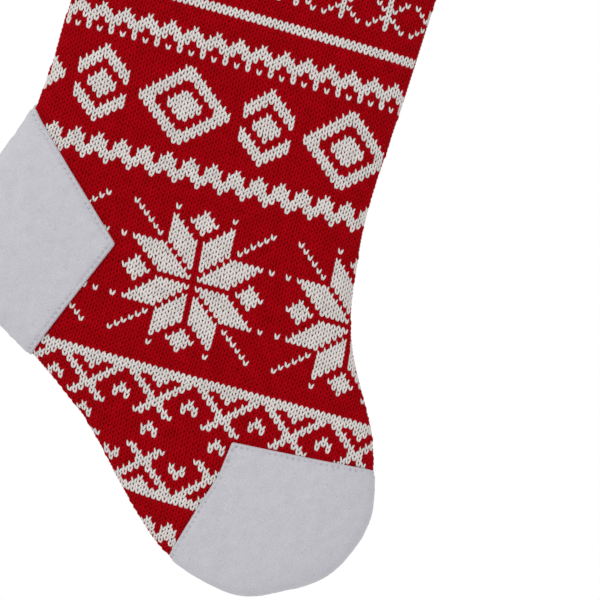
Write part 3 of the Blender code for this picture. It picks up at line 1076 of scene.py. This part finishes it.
TAPE_HALF = 5.0
TAPE_WALES = 4
TAPE_COURSE = 1.95
TAPE_CORE = 0.42          # half the tape's backing, between its two knitted faces
TAPE_SELVEDGE = 0.5       # the backing ends that far inside the tape's edges
TAPE_STEP = 0.65
TAPE_YARN = 0.62          # its stitches' height, as a share of the knit's
TAPE_SINK = 0.25
TAPE_START = 0.2
TAPE_END = 2.4
LOOP_BEND = 5.6           # the loop's radius at the hook
LOOP_SIDE = 8.2
TAB_APART = 0.95          # the tab's two tapes, from their middle
TAB_BOTTOM = -33.5
TAB_TOP = -4.0
TACK_TURNS = 22
TACK_REACH = 3.6
TACK_FACE = 2.25
TACK_TOP = -15.0
TACK_HEIGHT = 11.0
TACK_THREAD = 0.3


def leaning(points):
    """Points under the loop's root, which lean with the leg, as upright ones beside it."""
    c, s = math.cos(LEAN), math.sin(LEAN)
    return [(x * c + z * s, z * c - x * s) for x, z in points]


def loop_path():
    """The loop's middle line, upright, in millimetres from the root: up, round the hook, down."""
    right = [(1.15, 1.3), (1.2, 6.5), (2.5, 15.0), (4.9, 28.0), (7.2, 41.0), (8.1, 50.0)]
    x, z = LOOP_SIDE - LOOP_BEND, ROOT_DROP + TAPE_CORE + 0.4 - LOOP_BEND
    arc = [
        (x + LOOP_BEND * math.cos(t), z + LOOP_BEND * math.sin(t))
        for t in np.linspace(0.2, math.pi / 2, 6)
    ]
    right = leaning([(TAB_APART, -7.0), (TAB_APART, -3.0)]) + right + arc
    left = [(-x, z) for x, z in right[2:]][::-1]
    left += leaning([(-TAB_APART, -3.0), (-TAB_APART, -7.0)])
    return smoothed(np.array(right + left), 3.0, TAPE_STEP)


def tape(name, line, upright, node):
    """A knitted tape along a line, seen edge on: its core and the stitches on its two faces."""
    _, normal = directions(line)
    finish = upright_to_frame if upright else to_frame
    rings = []
    for a, b in ((-1, -1), (-1, 1), (1, 1), (1, -1)):
        centre = line + normal * TAPE_CORE * a
        edge = np.full(len(line), (TAPE_HALF - TAPE_SELVEDGE) * b)
        rings.append(np.stack([centre[:, 0], edge, centre[:, 1]], 1))
    points = finish(np.stack(rings, 1).reshape(-1, 3))
    core = add_mesh(name, points, tube_faces(len(line), 4), "ivory_yarn", smooth=False)
    stitches = tape_stitches(f"{name}_stitches", line, normal, finish)
    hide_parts(node)
    return core, stitches


def upright_to_frame(points):
    return (points - np.array([0, 0, ROOT_DROP])) * MM


def tape_stitches(name, line, normal, finish):
    """Small Vs on both faces of a tape."""
    template, faces = STITCHES["ivory"]
    width = 2 * TAPE_HALF / TAPE_WALES
    length = TAPE_STEP * (len(line) - 1)
    along = np.linspace(0, length, len(line))
    starts = np.arange(TAPE_START, length - TAPE_END, TAPE_COURSE)
    every_point, every_face, count = [], [], 0
    for face in (-1, 1):
        for wale in range(TAPE_WALES):
            y = (wale + 0.5) * width - TAPE_HALF
            at = starts[:, None] + template[None, :, 1] * TAPE_COURSE / COURSE
            x, z, nx, nz = (
                np.interp(at, along, v)
                for v in (line[:, 0], line[:, 1], normal[:, 0], normal[:, 1])
            )
            height = (template[None, :, 2] + 1.0) * TAPE_YARN + TAPE_CORE - TAPE_SINK
            px, pz = x + nx * face * height, z + nz * face * height
            py = np.broadcast_to(y + template[None, :, 0] * width / WALE * face, px.shape)
            every_point.append(np.stack([px, py, pz], -1).reshape(-1, 3))
            every_face.append(repeated(faces, len(template), len(starts)) + count)
            count += len(starts) * len(template)
    points = np.concatenate(every_point)
    return add_mesh(name, finish(points), np.concatenate(every_face), "ivory_yarn")


def hanging_loop():
    line = loop_path()
    core, stitches = tape("loop_tape", line, True, "hanging_loop")
    for piece in (core, stitches):
        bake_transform(piece)


def loop_tab():
    """The loop's two ends, sewn flat on each other inside the mouth."""
    for name, x in (("loop_tab_inner", TAB_APART), ("loop_tab_outer", -TAB_APART)):
        z = np.arange(TAB_BOTTOM, TAB_TOP, TAPE_STEP)
        line = np.stack([np.full(len(z), x), z], 1)
        core, stitches = tape(name, line, False, "loop_sewn_tab")
        for piece in (core, stitches):
            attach(piece, "stocking")


def bar_tack():
    """Close zigzag stitching across the tab."""
    sides, per_turn = 6, 8
    t = np.linspace(0, 1, TACK_TURNS * per_turn + 1)
    wave = 2 * np.abs(2 * (t * TACK_TURNS / 2 % 1) - 1) - 1
    rise = 0.25 * np.cos(wave * math.pi / 2)
    path = np.stack([TACK_FACE + rise, TACK_REACH * wave, TACK_TOP - TACK_HEIGHT * t], 1)
    turn = 2 * math.pi * np.arange(sides) / sides
    ring = np.stack([np.cos(turn), np.zeros(sides), np.sin(turn)], 1) * TACK_THREAD
    points = to_frame((path[:, None] + ring[None]).reshape(-1, 3))
    piece = add_mesh("bar_tack_sewing", points, tube_faces(len(path), sides), "white_thread")
    ride_stocking(piece, "loop_bar_tack")


# ---- the studio

FLOOR_Z = -1.3
FLOOR_RADIUS = 2.8


def area_light(name, place_m, target, size, power, colour):
    data = bpy.data.lights.new(name, "AREA")
    data.shape, data.size, data.energy, data.color = "DISK", size, power, colour
    made = new_object(name, data)
    made.location = place_m
    made.rotation_euler = (Vector(target) - Vector(place_m)).to_track_quat("-Z", "Y").to_euler()


def studio():
    """A pale floor that fades into a white world, and soft light from the front left and above."""
    scene = bpy.context.scene
    scene.view_settings.view_transform = "Standard"
    world = bpy.data.worlds.new("studio")
    scene.world = world
    world.use_nodes = True
    set_inputs(world.node_tree.nodes["Background"], Color=(1, 1, 1, 1), Strength=1)
    area_light("key", (-1.0, -1.7, 0.9), (0, 0, -0.35), 0.7, 14, (1, 0.985, 0.96))
    area_light("back", (0.6, 1.9, 0.8), (0, 0, -0.3), 1.0, 10, (1, 1, 1))
    floor_material, tree, shader = new_material("floor")
    set_inputs(shader, Base_Color=(0.86, 0.86, 0.86, 1), Roughness=0.8)
    length = on_object(tree, shader_node(tree, "VectorMath"))
    length.operation = "LENGTH"
    near, far = FLOOR_RADIUS * 0.35, FLOOR_RADIUS * 0.98
    fade = shader_node(tree, "MapRange", From_Min=near, From_Max=far, To_Min=1.0, To_Max=0.0)
    tree.links.new(length.outputs["Value"], fade.inputs["Value"])
    tree.links.new(fade.outputs["Result"], shader.inputs["Alpha"])
    bpy.ops.mesh.primitive_circle_add(
        vertices=96, radius=FLOOR_RADIUS, fill_type="NGON", location=(0, 0, FLOOR_Z)
    )
    floor = bpy.context.object
    floor.name = "floor"
    floor.data.materials.append(floor_material)


def camera():
    """A long lens, straight at the stocking's front, turned as the photo is."""
    data = bpy.data.cameras.new("camera")
    data.sensor_width = SENSOR
    data.lens = SENSOR * VIEW_DISTANCE / (VIEW_WIDTH * MM)
    data.clip_start, data.clip_end = 0.05, 50
    made = new_object("camera", data)
    centre = to_frame(np.array([[VIEW_CENTRE[0], -BODY_HALF, VIEW_CENTRE[1]]]))[0]
    roll = LEAN - VIEW_TURN
    right = (math.cos(roll), 0, -math.sin(roll))
    up = (math.sin(roll), 0, math.cos(roll))
    back = (0, -1, 0)
    turned = Matrix((right, up, back)).transposed().to_4x4()
    turned.translation = (centre[0], centre[1] - VIEW_DISTANCE, centre[2])
    made.matrix_world = turned
    bpy.context.scene.camera = made


MATERIALS = {name: cloth_material(name, *values) for name, values in CLOTHS.items()}
PATCHES = find_patches()
for side_word, hand in (("front", -1), ("back", 1)):
    knit_panel(side_word, hand)
    lining(side_word, hand)
    patch(side_word, "heel", hand)
    patch(side_word, "toe", hand)
    cuff(side_word, hand)
side_seam()
hanging_loop()
loop_tab()
bar_tack()
studio()
camera()
